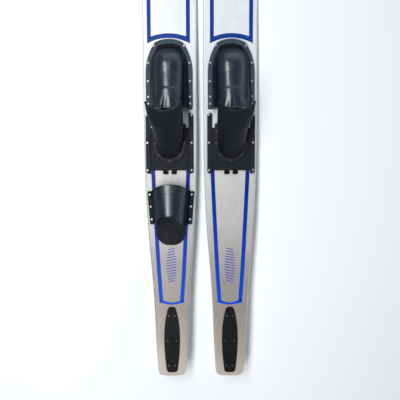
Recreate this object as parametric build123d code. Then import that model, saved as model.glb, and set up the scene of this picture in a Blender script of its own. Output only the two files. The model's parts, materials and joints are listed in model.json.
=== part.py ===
from build123d import *
import math
import os

# A pair of combination water skis, millimetres, +Y towards the tips, +Z up.
# Each ski is modelled level: X across, Y from the tail end, Z up from its flat running base.
# The pieces are drawn for the left ski, whose outer side is -X, and mirrored for the right ski.
# Then both skis are laid on the floor, where they stand on the fin tip and the rocker.

# Ski body
ski_length = 1702.0
ski_thickness = 18.0
ski_spacing = 185.0
max_half_width = 82.5
tail_half_width = 43.5
tail_corner_radius = 17.0
tail_bow = 4.0
deck_edge_radius = 5.0
tail_rocker_length = 330.0
tail_rocker_rise = 6.0
front_rocker_start = 1090.0
shovel_start = 1400.0
front_rocker_radius = 2600.0
shovel_radius = 1150.0
deck_flattening = 1.1
tip_taper_start = 1370.0
top_sheet_thickness = 1.2
base_shell_thickness = 3.0
tunnel_depth = 2.0
tunnel_half_width = 26.0
tunnel_end = 700.0

# Fasteners
screw_head_radius = 3.7
screw_head_height = 2.5
shank_radius = 2.4
shank_clearance = 0.2
insert_radius = 4.0
insert_length = 9.0
insert_fit = 0.05
screw_grip = 7.0
cross_slot_width = 1.0
cross_slot_length = 4.6
cross_slot_depth = 1.3

# Bindings
binding_offset = -2.5
strip_width = 14.5
strip_thickness = 4.0
flange_thickness = 2.5
rubber_wall = 4.0
pad_thickness = 4.0
soft_gap = 0.4

# Front toe piece
toe_front = 1064.0
toe_rear = 854.0
toe_half_width = 71.5
toe_nose_half_width = 43.0
toe_nose_back = 11.0
toe_side_back = 102.0
toe_dome_height = 76.0
toe_dome_front_gap = 28.0
toe_screw_rows = ((21.0, 46.0), (72.0, 63.0), (127.0, 64.2), (174.0, 64.2), (195.0, 64.2))

# Heel rails and sliding heel plate
rail_front = 839.7
rail_length = 186.0
rail_half_width = 73.5
rail_height = 7.0
rail_lip = 4.5
rail_lip_thickness = 2.6
rail_screw_half_spacing = 68.6
rail_screw_pitch = 85.0
plate_front = 794.7
plate_length = 131.0
plate_height = 7.5
plate_lift = 0.3
slide_gap = 0.5
lip_gap = 0.3

# Lock levers
notch_pitch = 9.0
notch_width = 6.4
notch_depth = 1.7
notches_forward = 5
notches_back = 1
lever_thickness = 3.0
lever_lift = 0.6
lever_pivot_half_spacing = 24.0
lever_pivot_ahead = 78.0
lever_tooth_ahead = 12.0
tooth_width = 5.0
tooth_gap = 0.3
tooth_bite = 1.3
tab_half_gap = 4.85
tab_width = 16.2
tab_length = 11.7
tab_height = 6.2
pivot_radius = 2.5
pivot_gap = 0.06
spring_radius = 1.35
spring_wire = 0.4
spring_turns = 8

# Heel cup
horseshoe_half_width = 50.8
horseshoe_rear_offset = 24.0
horseshoe_width = 12.6
horseshoe_arm_front = plate_front - 3.7
heel_screw_ahead = ((6.2, 0.0), (23.0, 34.0), (59.5, 44.5), (96.0, 44.5))
cup_height = 132.0
cup_lean = 130.0
cup_curl = 26.0
cup_rim_share = 0.94
cup_ear_reach = 78.0
cup_skew = -13.0
cup_flare = 12.0
cup_wall = 3.6

# Rear toe piece, left ski only
rear_toe_front = 599.0
rear_toe_length = 104.0
rear_toe_front_half_width = 73.0
rear_toe_rear_half_width = 65.3
rear_toe_strip_width = 13.0
rear_toe_arch_height = 58.0
rear_toe_peak_ahead = 22.0
rear_toe_mouth_slant = 24.0
rear_toe_screws = (10.0, 48.0, 88.0)
rear_pad_rear = 428.0
rear_pad_half_width = 47.0

# Tail fin
fin_plate_rear = 14.0
fin_plate_length = 214.5
fin_plate_half_width = 25.0
fin_plate_thickness = 4.0
fin_keel_half_width = 3.8
fin_slot_half_width = 4.3
fin_slot_margin = 24.0
fin_blade_half_thickness = 1.5
fin_groove_gap = 0.1
fin_depth = 58.0
fin_tip_radius = 14.0
fin_tip_ahead = 60.0
fin_pin_radius = 2.0
fin_screws = ((22.4, 9.6), (105.0, 15.0), (185.8, 9.6))

deck = ski_thickness
tall = 400.0


def prism(face, low, high):
    """A plan outline drawn on the XY plane, raised from one level to another."""
    return extrude(Pos(0, 0, low) * face, high - low)


def block(x0, x1, y0, y1, z0, z1):
    return Pos((x0 + x1) / 2, (y0 + y1) / 2, (z0 + z1) / 2) * Box(x1 - x0, y1 - y0, z1 - z0)


def rod(x, y, radius, low, high):
    return Pos(x, y, (low + high) / 2) * Cylinder(radius, high - low)


def either_side(spots):
    """Each spot given for the right, repeated on the left unless it is on the centre line."""
    return [(side * x, y) for x, y in spots for side in ((1, -1) if x else (1,))]


def place_on_binding(spots):
    return [(x + binding_offset, y) for x, y in spots]


# ---------------------------------------------------------------- ski body

def rocker_curve(level, first_radius, second_radius):
    """The upward sweep of the front in side view: two tangent arcs that run past the tip."""
    end = ski_length + 10.0
    first_angle = math.asin((shovel_start - front_rocker_start) / first_radius)
    centre = (front_rocker_start, level + first_radius)
    rise = first_radius * (1 - math.cos(first_angle))
    joint = (shovel_start, level + rise)
    second_centre = (
        joint[0] - second_radius * math.sin(first_angle),
        joint[1] + second_radius * math.cos(first_angle),
    )
    last_angle = math.asin((end - second_centre[0]) / second_radius)
    first = CenterArc(centre, first_radius, -90, math.degrees(first_angle))
    second = CenterArc(
        second_centre,
        second_radius,
        -90 + math.degrees(first_angle),
        math.degrees(last_angle - first_angle),
    )
    return [first, second]


def underside_curve(rise):
    """The underside in side view, or a parallel of it that lies rise millimetres inside."""
    tail_radius = (tail_rocker_length**2 + tail_rocker_rise**2) / (2 * tail_rocker_rise)
    tail_sweep = math.degrees(math.asin((tail_rocker_length + 10) / tail_radius))
    tail = CenterArc((tail_rocker_length, tail_radius), tail_radius - rise, -90, -tail_sweep)
    flat = Line((tail_rocker_length, rise), (front_rocker_start, rise))
    front = rocker_curve(rise, front_rocker_radius - rise, shovel_radius - rise)
    return [tail, flat] + front


def deck_curve(drop):
    """The deck in side view, or a parallel of it that lies drop millimetres inside."""
    flat = Line((-10, deck - drop), (front_rocker_start, deck - drop))
    front = rocker_curve(
        deck - drop,
        front_rocker_radius * deck_flattening + drop,
        shovel_radius * deck_flattening + drop,
    )
    return [flat] + front


def layer(lower, upper):
    """Everything between two side-view curves, over the whole width."""
    low_tail = lower[0] @ (1 if len(lower) == 4 else 0)
    high_tail = upper[0] @ (1 if len(upper) == 4 else 0)
    closing = [Line(low_tail, high_tail), Line(lower[-1] @ 1, upper[-1] @ 1)]
    return extrude(Plane.YZ * make_face(lower + upper + closing), tall / 2, both=True)


def ski_outline():
    """Plan of the ski: narrow tail, long taper, straight waist and a round tip."""
    taper = [
        (tail_half_width, tail_bow),
        (0.5 * (tail_half_width + max_half_width) - 4.5, 0.17 * ski_length),
        (max_half_width - 12.0, 0.26 * ski_length),
        (max_half_width - 3.5, 0.35 * ski_length),
        (max_half_width, 0.5 * ski_length),
    ]
    side = Spline(taper, tangents=[(0.1, 1), (0, 1)])
    waist = Line(side @ 1, (max_half_width, tip_taper_start))
    tip = Spline(
        (max_half_width, tip_taper_start),
        (0.83 * max_half_width, ski_length - 0.3 * (ski_length - tip_taper_start)),
        (0, ski_length),
        tangents=[(0, 1), (-1, 0)],
    )
    right = [side, waist, tip]
    left = [edge.mirror(Plane.YZ) for edge in right]
    tail = ThreePointArc((tail_half_width, tail_bow), (0, 0), (-tail_half_width, tail_bow))
    face = make_face(right + left + [tail])
    corners = face.vertices().sort_by(Axis.Y)[:2]
    return fillet(corners, tail_corner_radius)


def ski_body():
    body = prism(ski_outline(), -20, tall) & layer(underside_curve(0), deck_curve(0))
    rim = []
    for face in body.faces().filter_by(lambda f: f.normal_at().Z > 0.8):
        rim += [edge for edge in face.edges() if abs((edge % 0.5).X) < 0.999]
        rim += [edge for edge in face.edges() if abs((edge % 0.5).X) >= 0.999 and edge.center().Y < 60]
    return fillet(rim, deck_edge_radius)


def tunnel():
    """The shallow guide channel under the rear half of the ski."""
    channel = layer(underside_curve(-5), underside_curve(tunnel_depth))
    plan = Rectangle(2 * tunnel_half_width, tunnel_end + 40, align=(Align.CENTER, Align.MIN))
    plan = fillet(plan.vertices().sort_by(Axis.Y)[-2:], tunnel_half_width * 0.98)
    return channel & prism(Pos(0, -40) * plan, -20, 60)


# ---------------------------------------------------------------- fasteners

def screw(x, y, seat, length):
    """A pan-head screw with a cross recess, its head seated at the given level."""
    head = rod(x, y, screw_head_radius, seat, seat + screw_head_height)
    head = fillet(head.edges().sort_by(Axis.Z)[-1], 0.6 * screw_head_height)
    top = seat + screw_head_height
    half_long = cross_slot_length / 2
    half_wide = cross_slot_width / 2
    slot_floor = top - cross_slot_depth
    head -= block(x - half_long, x + half_long, y - half_wide, y + half_wide, slot_floor, top + 1)
    head -= block(x - half_wide, x + half_wide, y - half_long, y + half_long, slot_floor, top + 1)
    shank = rod(x, y, shank_radius, seat - length, seat + 0.5)
    return head + chamfer(shank.edges().sort_by(Axis.Z)[0], 0.6)


def screws(spots, seat, length):
    return [screw(x, y, seat, length) for x, y in spots]


def holes(spots, low, high, radius=shank_radius + shank_clearance):
    return [rod(x, y, radius, low, high) for x, y in spots]


def insert(x, y):
    sleeve = rod(x, y, insert_radius - insert_fit, deck - insert_length, deck)
    return sleeve - rod(x, y, shank_radius + shank_clearance, deck - insert_length - 1, deck + 1)


# ---------------------------------------------------------------- front toe piece

def toe_outline(inset):
    """Plan of the toe frame: a shallow nose arc, and shoulder arcs that run into straight sides."""
    corner = (toe_nose_half_width, toe_front - toe_nose_back)
    side = (toe_half_width, toe_front - toe_side_back)
    end = (toe_half_width, toe_rear - 60)
    narrowing = side[0] - corner[0]
    rise = corner[1] - side[1]
    radius = (narrowing**2 + rise**2) / (2 * narrowing)
    sweep = math.degrees(math.asin(rise / radius))
    right = [CenterArc((side[0] - radius, side[1]), radius, 0, sweep), Line(side, end)]
    left = [edge.mirror(Plane.YZ) for edge in right]
    nose = ThreePointArc((-corner[0], corner[1]), (0, toe_front), corner)
    back = Line(end, (-end[0], end[1]))
    face = make_face(right + left + [nose, back])
    return offset(face, -inset, kind=Kind.INTERSECTION) if inset else face


def toe_frame():
    plan = toe_outline(0) - toe_outline(strip_width)
    plan -= Pos(0, toe_rear - 45) * Rectangle(2 * toe_half_width + 10, 90)
    ring = prism(plan, deck + flange_thickness, toe_seat())
    ends = ring.edges().filter_by(Axis.Z).sort_by(Axis.Y)[:4]
    ring = fillet(ends, 0.35 * strip_width)
    ring = chamfer(ring.edges().filter_by(lambda e: e.center().Z > toe_seat() - 0.01), 0.8)
    return Pos(binding_offset, 0, 0) * ring - holes(toe_spots(), deck, deck + 20)


def toe_seat():
    return deck + flange_thickness + strip_thickness


def toe_spots():
    return place_on_binding(either_side([(x, toe_front - back) for back, x in toe_screw_rows]))


def arch(y, half_width, height):
    """An upright half-ellipse across the ski, standing on the deck."""
    half = EllipticalCenterArc((0, 0), half_width, height, 0, arc_size=180)
    outline = make_face([half, Line((half_width, 0), (-half_width, 0))])
    return Plane(origin=(0, y, deck), x_dir=(1, 0, 0), z_dir=(0, -1, 0)) * outline


def toe_rubber():
    inner_half = toe_half_width - strip_width - soft_gap
    nose = toe_front - toe_dome_front_gap
    stations = [
        (nose, 0.42 * inner_half, 0.14 * toe_dome_height),
        (nose - 20, 0.73 * inner_half, 0.40 * toe_dome_height),
        (nose - 56, 0.93 * inner_half, 0.66 * toe_dome_height),
        (nose - 106, inner_half, 0.83 * toe_dome_height),
        (nose - 150, inner_half, 0.94 * toe_dome_height),
        (toe_rear - 2, inner_half, toe_dome_height),
    ]
    outer = loft([arch(y, half, high) for y, half, high in stations])
    hollow = [(y - rubber_wall, half - rubber_wall, high - rubber_wall) for y, half, high in stations]
    last_y, last_half, last_high = hollow[-1]
    hollow.append((last_y - 20, last_half, last_high + 1))
    inner = loft([arch(y, half, high) for y, half, high in hollow])
    flange = prism(toe_outline(0.5), deck, deck + flange_thickness)
    flange -= block(-100, 100, toe_rear - 90, toe_rear, 0, 60)
    shell = (outer + flange) - inner
    return Pos(binding_offset, 0, 0) * shell - holes(toe_spots(), deck - 1, deck + 20)


def foot_pad(half_width, rear, front, corner, level, thickness):
    plan = Pos(0, (rear + front) / 2) * RectangleRounded(2 * half_width, front - rear, corner)
    pad = prism(plan, level, level + thickness)
    pad = fillet(pad.edges().filter_by(lambda e: e.center().Z > level + thickness - 0.01), 1.0)
    return Pos(binding_offset, 0, 0) * pad


# ---------------------------------------------------------------- heel rails

def rail_rear():
    return rail_front - rail_length


def tooth_line():
    """Where the lock teeth are along the ski, with the heel plate at rest."""
    return plate_front - plate_length + lever_tooth_ahead


def lever_pivot():
    return (lever_pivot_half_spacing, plate_front - plate_length + lever_pivot_ahead)


def locked_angle():
    """Turn of a lever, in radians, from just clear of the rail to seated in a notch."""
    return tooth_bite / (lever_pivot()[1] - tooth_line())


def squeezed_angle():
    """Turn of a lever, in radians, that brings the two thumb tabs together."""
    tab_middle = plate_front - plate_length - tab_length
    return (tab_half_gap - 0.5) / (lever_pivot()[1] - tab_middle)


def rail_spots(side):
    x = side * rail_screw_half_spacing
    first = rail_front - 5.0
    return place_on_binding([(x, first - n * rail_screw_pitch) for n in range(3)])


def rail(side):
    wall = rail_half_width - strip_width + rail_lip
    lip = rail_half_width - strip_width
    section = Polyline(
        (wall, 0),
        (rail_half_width, 0),
        (rail_half_width, rail_height),
        (lip, rail_height),
        (lip, rail_height - rail_lip_thickness),
        (wall, rail_height - rail_lip_thickness),
        (wall, 0),
    )
    front_end = Plane(origin=(0, rail_front, deck), x_dir=(1, 0, 0), z_dir=(0, -1, 0))
    bar = extrude(front_end * make_face(section), rail_length)
    upright = bar.edges().filter_by(Axis.Z).filter_by(lambda e: e.center().X > rail_half_width - 0.01)
    bar = fillet(upright, 0.55 * strip_width)
    bar = chamfer(bar.edges().filter_by(lambda e: e.center().Z > deck + rail_height - 0.01), 0.8)
    lever_reach = lever_pivot()[1] - tooth_line()
    tooth_reach = wall - tooth_gap - lever_pivot()[0]
    seated = tooth_line() + tooth_reach * math.sin(locked_angle())
    notch_roof = deck + rail_height - rail_lip_thickness
    for step in range(-notches_back, notches_forward + 1):
        middle = seated + step * notch_pitch
        low, high = middle - notch_width / 2, middle + notch_width / 2
        bar -= block(wall - 1, wall + notch_depth, low, high, deck - 1, notch_roof)
    bar = bar if side > 0 else bar.mirror(Plane.YZ)
    return Pos(binding_offset, 0, 0) * bar - holes(rail_spots(side), deck - 1, deck + 20)


# ---------------------------------------------------------------- sliding heel

def plate_rear():
    return plate_front - plate_length


def plate_top():
    return deck + plate_height


def heel_spots():
    rear = plate_rear() + horseshoe_rear_offset
    return place_on_binding(either_side([(x, rear + ahead) for ahead, x in heel_screw_ahead]))


def lever_pocket():
    """Room for both levers from locked to squeezed, open at the rear and towards the rails."""
    roof = deck + lever_lift + lever_thickness + 0.4
    inside = lever_pivot_half_spacing + 13.0
    middle = block(-inside, inside, plate_rear() - 1, lever_pivot()[1] + 10.5, deck - 1, roof)
    reach = tooth_line() + tooth_width + 5.0
    return middle + block(-100, 100, plate_rear() + 2.0, reach, deck - 1, roof)


def heel_plate():
    tongue_half = rail_half_width - strip_width + rail_lip - slide_gap
    body_half = rail_half_width - strip_width - lip_gap - 0.1
    tongue_top = deck + rail_height - rail_lip_thickness - lip_gap
    tongue = block(-tongue_half, tongue_half, plate_rear(), plate_front, deck + plate_lift, tongue_top)
    body = block(-body_half, body_half, plate_rear(), plate_front, tongue_top - 0.5, plate_top())
    body = fillet(body.edges().filter_by(Axis.Z), 3.0)
    body = chamfer(body.edges().filter_by(lambda e: e.center().Z > plate_top() - 0.01), 0.8)
    plate = tongue + body - lever_pocket()
    plate = Pos(binding_offset, 0, 0) * plate
    pins = place_on_binding(either_side([lever_pivot()]))
    plate -= holes(pins, deck, plate_top() - 0.8, pivot_radius + 0.01)
    return plate - holes(heel_spots(), plate_top() - 3.0, plate_top() + 1)


def lever(side):
    """One lock lever: hub, stem, arm with its rail tooth, and the thumb tab behind the plate."""
    pivot_x, pivot_y = lever_pivot()
    rear = plate_rear()
    wall = rail_half_width - strip_width + rail_lip
    low = deck + lever_lift
    high = low + lever_thickness
    tab_outer = tab_half_gap + tab_width
    stem = Polyline(
        (pivot_x - 6.5, pivot_y),
        (pivot_x + 6.5, pivot_y),
        (tab_outer + 4, rear + 10),
        (tab_outer, rear),
        (tab_half_gap + 1.5, rear),
        (tab_half_gap + 4.5, rear + 12),
        (pivot_x - 6.5, pivot_y),
    )
    solid = prism(make_face(stem), low, high) + rod(pivot_x, pivot_y, 7.0, low, high)
    solid += block(tab_half_gap + 4, wall - tooth_gap - 3, rear + 6.5, rear + 17.5, low, high)
    tooth = (tooth_line() - tooth_width / 2, tooth_line() + tooth_width / 2)
    solid += block(wall - tooth_gap - 4, wall - tooth_gap, tooth[0], tooth[1], low, high)
    neck = block(tab_half_gap + 1.5, tab_outer, rear - 4, rear + 0.5, low, high)
    tab = block(tab_half_gap, tab_outer, rear - tab_length, rear - 2.2, low, low + tab_height)
    tab = fillet(tab.edges().filter_by(Axis.Z), 1.6)
    tab = fillet(tab.edges().filter_by(lambda e: e.center().Z > low + tab_height - 0.01), 0.8)
    solid += neck + tab
    solid -= rod(pivot_x, pivot_y, pivot_radius + pivot_gap, deck - 1, deck + 20)
    solid = solid if side > 0 else solid.mirror(Plane.YZ)
    return Pos(binding_offset, 0, 0) * solid


def pivot_pins():
    spots = place_on_binding(either_side([lever_pivot()]))
    return [rod(x, y, pivot_radius, deck + plate_lift, plate_top() - 0.8) for x, y in spots]


def lock_spring():
    """The small coil spring that pushes the two levers apart."""
    y = plate_rear() + 40.0
    half = 0.5 * (spring_span(y)) - spring_wire - 0.3
    path = Helix(2 * half / spring_turns, 2 * half, spring_radius)
    wire = sweep(Plane(path @ 0, z_dir=path % 0) * Circle(spring_wire), path=path, is_frenet=True)
    level = deck + lever_lift + lever_thickness / 2
    return Pos(binding_offset, y, level) * Rot(0, 90, 0) * Pos(0, 0, -half) * wire


def spring_span(y):
    """Free width between the two lever stems at a place along the ski."""
    rear = plate_rear() + 12.0
    share = (y - rear) / (lever_pivot()[1] - rear)
    start = tab_half_gap + 4.5
    return 2 * (start + share * (lever_pivot()[0] - 6.5 - start))


def horseshoe_plan(half_width, rear, front):
    """A U outline: a half-ellipse at the rear and straight arms to the front."""
    depth = min(1.15 * half_width, front - rear - 5)
    start = rear + depth
    arms = Polyline((half_width, start), (half_width, front), (-half_width, front), (-half_width, start))
    bend = EllipticalCenterArc((0, start), half_width, depth, 180, arc_size=180)
    return make_face([arms, bend])


def horseshoe_ring(inset_outer, grow_inward, extra_front):
    rear = plate_rear() + horseshoe_rear_offset
    width = horseshoe_width + grow_inward
    outer = horseshoe_plan(horseshoe_half_width - inset_outer, rear + inset_outer, horseshoe_arm_front)
    inner = horseshoe_plan(horseshoe_half_width - width, rear + width, horseshoe_arm_front + extra_front)
    return outer - inner


def horseshoe():
    low = plate_top() + flange_thickness
    ring = prism(horseshoe_ring(0, 0, 30), low, low + strip_thickness)
    ring = fillet(ring.edges().filter_by(Axis.Z).sort_by(Axis.Y)[-4:], 0.35 * horseshoe_width)
    ring = chamfer(ring.edges().filter_by(lambda e: e.center().Z > low + strip_thickness - 0.01), 0.8)
    return Pos(binding_offset, 0, 0) * ring - holes(heel_spots(), deck, deck + 30)


def cup_section(height, inset, front_extra):
    """Level slice of the heel cup: a round back that leans forward, flares and skews outward."""
    share = height / cup_height
    base_half = horseshoe_half_width - horseshoe_width - soft_gap
    half = base_half + cup_flare * max(share, 0) ** 1.3 - inset
    foot = plate_rear() + horseshoe_rear_offset + horseshoe_width + soft_gap
    leaning = min(share, cup_rim_share)
    rear = foot + cup_lean * leaning + cup_curl * leaning**3 + 1.4 * inset
    depth = 42.0 - 22.0 * share - 0.5 * inset
    shift = cup_skew * share * abs(share)
    front = horseshoe_arm_front + 104.0 * max(share, 0) + front_extra
    start = rear + depth
    right, left = shift + half, shift - half
    bend = EllipticalCenterArc((shift, start), half, depth, 180, arc_size=180)
    arms = Polyline((right, start), (right, front), (left, front), (left, start))
    return Pos(0, 0, plate_top() + height) * make_face([arms, bend])


def cup_side_view():
    """Side view that trims the cup: nearly upright front edges below, swept forward ears above."""
    front = horseshoe_arm_front
    rear = plate_rear() - 40
    low = plate_top() - 1
    top = plate_top() + cup_height
    dip = plate_top() + cup_rim_share * cup_height
    ear = front + cup_ear_reach
    edge = Spline(
        (front, low),
        (front + 0.09 * cup_ear_reach, plate_top() + 0.34 * cup_height),
        (front + 0.18 * cup_ear_reach, plate_top() + 0.52 * cup_height),
        (front + 0.60 * cup_ear_reach, plate_top() + 0.735 * cup_height),
        (front + 0.96 * cup_ear_reach, dip),
        (ear, top + 2),
    )
    rim = Spline((ear, top + 2), (ear - 9, 0.5 * (top + dip)), (ear - 21, dip))
    back = Polyline((ear - 21, dip), (rear, dip), (rear, low), (front, low))
    return extrude(Plane.YZ * make_face([edge, rim, back]), tall / 2, both=True)


def heel_rubber():
    middle = (0.12, 0.35, 0.7, cup_rim_share)
    outer = loft([cup_section(cup_height * share, 0, 0) for share in (0.0, *middle, 1.05)])
    inner = loft([cup_section(cup_height * share, cup_wall, 60) for share in (-0.02, *middle, 1.08)])
    cup = (outer - inner) & cup_side_view()
    flange = prism(horseshoe_ring(0.4, 2.0, 30), plate_top(), plate_top() + flange_thickness)
    cup = Pos(binding_offset, 0, 0) * (cup + flange)
    return cup - holes(heel_spots(), deck, plate_top() + flange_thickness + 1)


# ---------------------------------------------------------------- rear toe piece

def rear_toe_side(inset_outer, inset_inner, front, rear):
    """Plan of one side strip, which closes in towards the tail."""
    slope = (rear_toe_front_half_width - rear_toe_rear_half_width) / rear_toe_length
    wide_front = rear_toe_front_half_width + slope * (front - rear_toe_front)
    wide_rear = rear_toe_front_half_width + slope * (rear - rear_toe_front)
    return Polyline(
        (wide_front - inset_outer, front),
        (wide_rear - inset_outer, rear),
        (wide_rear - inset_inner, rear),
        (wide_front - inset_inner, front),
        (wide_front - inset_outer, front),
    )


def rear_toe_spots(side):
    slope = (rear_toe_front_half_width - rear_toe_rear_half_width) / rear_toe_length
    middle = rear_toe_front_half_width - rear_toe_strip_width / 2
    return [(side * (middle - slope * back), rear_toe_front - back) for back in rear_toe_screws]


def rear_toe_strip(side):
    low = deck + flange_thickness
    rear = rear_toe_front - rear_toe_length
    plan = make_face(rear_toe_side(0, rear_toe_strip_width, rear_toe_front, rear))
    strip = prism(plan, low, low + strip_thickness)
    strip = fillet(strip.edges().filter_by(Axis.Z), 0.3 * rear_toe_strip_width)
    strip = chamfer(strip.edges().filter_by(lambda e: e.center().Z > low + strip_thickness - 0.01), 0.8)
    strip = strip if side > 0 else strip.mirror(Plane.YZ)
    return strip - holes(rear_toe_spots(side), deck, deck + 20)


def rear_toe_rubber():
    rear = rear_toe_front - rear_toe_length
    foot = rear_toe_front_half_width - rear_toe_strip_width - soft_gap
    narrow = rear_toe_rear_half_width - rear_toe_strip_width - soft_gap
    stations = [
        (rear_toe_front + rear_toe_peak_ahead + 2, foot, 0.72 * rear_toe_arch_height),
        (rear_toe_front - 0.4 * rear_toe_length, 0.5 * (foot + narrow), 0.95 * rear_toe_arch_height),
        (rear, narrow, rear_toe_arch_height),
    ]
    outer = loft([arch(y, half, high) for y, half, high in stations])
    first, middle, last = [(y, half - rubber_wall, high - rubber_wall) for y, half, high in stations]
    first = (first[0] + 20, first[1], first[2])
    last = (last[0] - 20, last[1], last[2])
    inner = loft([arch(y, half, high) for y, half, high in (first, middle, last)])
    front_cut = Spline(
        (rear_toe_front, deck - 1),
        (rear_toe_front + 0.6 * rear_toe_peak_ahead, deck + 0.4 * rear_toe_arch_height),
        (rear_toe_front + rear_toe_peak_ahead, deck + 1.05 * rear_toe_arch_height),
    )
    over = deck + 1.05 * rear_toe_arch_height
    back = Polyline(front_cut @ 1, (rear + rear_toe_mouth_slant, over), (rear, deck - 1), front_cut @ 0)
    trimmed = (outer - inner) & extrude(Plane.YZ * make_face([front_cut, back]), tall / 2, both=True)
    slope = rear_toe_strip_width + 1.5
    for side in (1, -1):
        plan = make_face(rear_toe_side(0.5, slope, rear_toe_front, rear))
        flange = prism(plan, deck, deck + flange_thickness)
        trimmed += flange if side > 0 else flange.mirror(Plane.YZ)
    return trimmed - holes(rear_toe_spots(1) + rear_toe_spots(-1), deck - 1, deck + 20)


# ---------------------------------------------------------------- tail fin

def fin_spots():
    return either_side([(x, fin_plate_rear + ahead) for ahead, x in fin_screws])


def fin_plate():
    """The drop-through fin's deck plate: pointed-oval plan, cross rib, and a keel in the slot."""
    length = fin_plate_length
    side = Spline(
        (0.42 * fin_plate_half_width, fin_plate_rear + length),
        (0.84 * fin_plate_half_width, fin_plate_rear + 0.79 * length),
        (fin_plate_half_width, fin_plate_rear + 0.54 * length),
        (0.92 * fin_plate_half_width, fin_plate_rear + 0.27 * length),
        (0.66 * fin_plate_half_width, fin_plate_rear),
    )
    front = Line(side @ 0, (-(side @ 0).X, (side @ 0).Y))
    back = Line(side @ 1, (-(side @ 1).X, (side @ 1).Y))
    face = make_face([side, side.mirror(Plane.YZ), front, back])
    face = fillet(face.vertices(), 0.38 * fin_plate_half_width)
    plate = prism(face, deck, deck + fin_plate_thickness)
    top = deck + fin_plate_thickness
    plate = chamfer(plate.edges().filter_by(lambda e: e.center().Z > top - 0.01), 1.0)
    rib_y = fin_plate_rear + 0.52 * length
    rib = Pos(0, rib_y, top) * Box(1.5 * fin_plate_half_width, 3.0, 1.4)
    plate += fillet(rib.edges().filter_by(Axis.X).sort_by(Axis.Z)[-2:], 0.6)
    half = fin_keel_half_width
    keel = block(-half, half, keel_rear(), keel_front(), keel_bottom(), deck + 1)
    groove = fin_blade_half_thickness + fin_groove_gap
    plate += keel
    plate -= block(-groove, groove, keel_rear() + 6, keel_front() - 6, keel_bottom() - 1, deck - 2)
    plate -= fin_pin_holes(0.02)
    return plate - holes(fin_spots(), deck - 1, deck + 20)


def keel_rear():
    return fin_plate_rear + fin_slot_margin + 1


def keel_front():
    return fin_plate_rear + fin_plate_length - fin_slot_margin + 1


def keel_bottom():
    return tail_rocker_rise + 2.0


def fin_pin_spots():
    return [keel_rear() + 24, keel_front() - 24]


def fin_pin_holes(extra):
    level = 0.5 * (keel_bottom() + deck - 2)
    return [
        Pos(0, y, level) * Rot(0, 90, 0) * Cylinder(fin_pin_radius + extra, 2 * fin_keel_half_width + 2)
        for y in fin_pin_spots()
    ]


def fin_pins():
    level = 0.5 * (keel_bottom() + deck - 2)
    return [
        Pos(0, y, level) * Rot(0, 90, 0) * Cylinder(fin_pin_radius, 2 * fin_keel_half_width)
        for y in fin_pin_spots()
    ]


def fin_tip_centre():
    return (fin_plate_rear + fin_tip_ahead, -fin_depth + fin_tip_radius)


def fin():
    """The aluminium blade: a tab held in the keel and a swept blade under the ski."""
    rear = keel_rear() + 6.5
    front = keel_front() - 6.5
    tip_y, tip_z = fin_tip_centre()
    blade = Polyline(
        (rear, deck - 2.5),
        (rear, -2),
        (tip_y - 1.05 * fin_tip_radius, tip_z),
        (tip_y, tip_z - 0.75 * fin_tip_radius),
        (tip_y + 2.2 * fin_tip_radius, tip_z - 0.3 * fin_tip_radius),
        (front - 30, -0.34 * fin_depth),
        (front, -2),
        (front, deck - 2.5),
        (rear, deck - 2.5),
    )
    face = make_face(blade) + Pos(tip_y, tip_z) * Circle(fin_tip_radius)
    solid = extrude(Plane.YZ * face, fin_blade_half_thickness, both=True)
    return solid - fin_pin_holes(0.02)


def fin_slot():
    """The slot through the ski that the keel and blade drop into."""
    half = fin_slot_half_width
    return block(-half, half, keel_rear() - 0.5, keel_front() + 0.5, -20, deck + 10)


# ---------------------------------------------------------------- assembly

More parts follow.
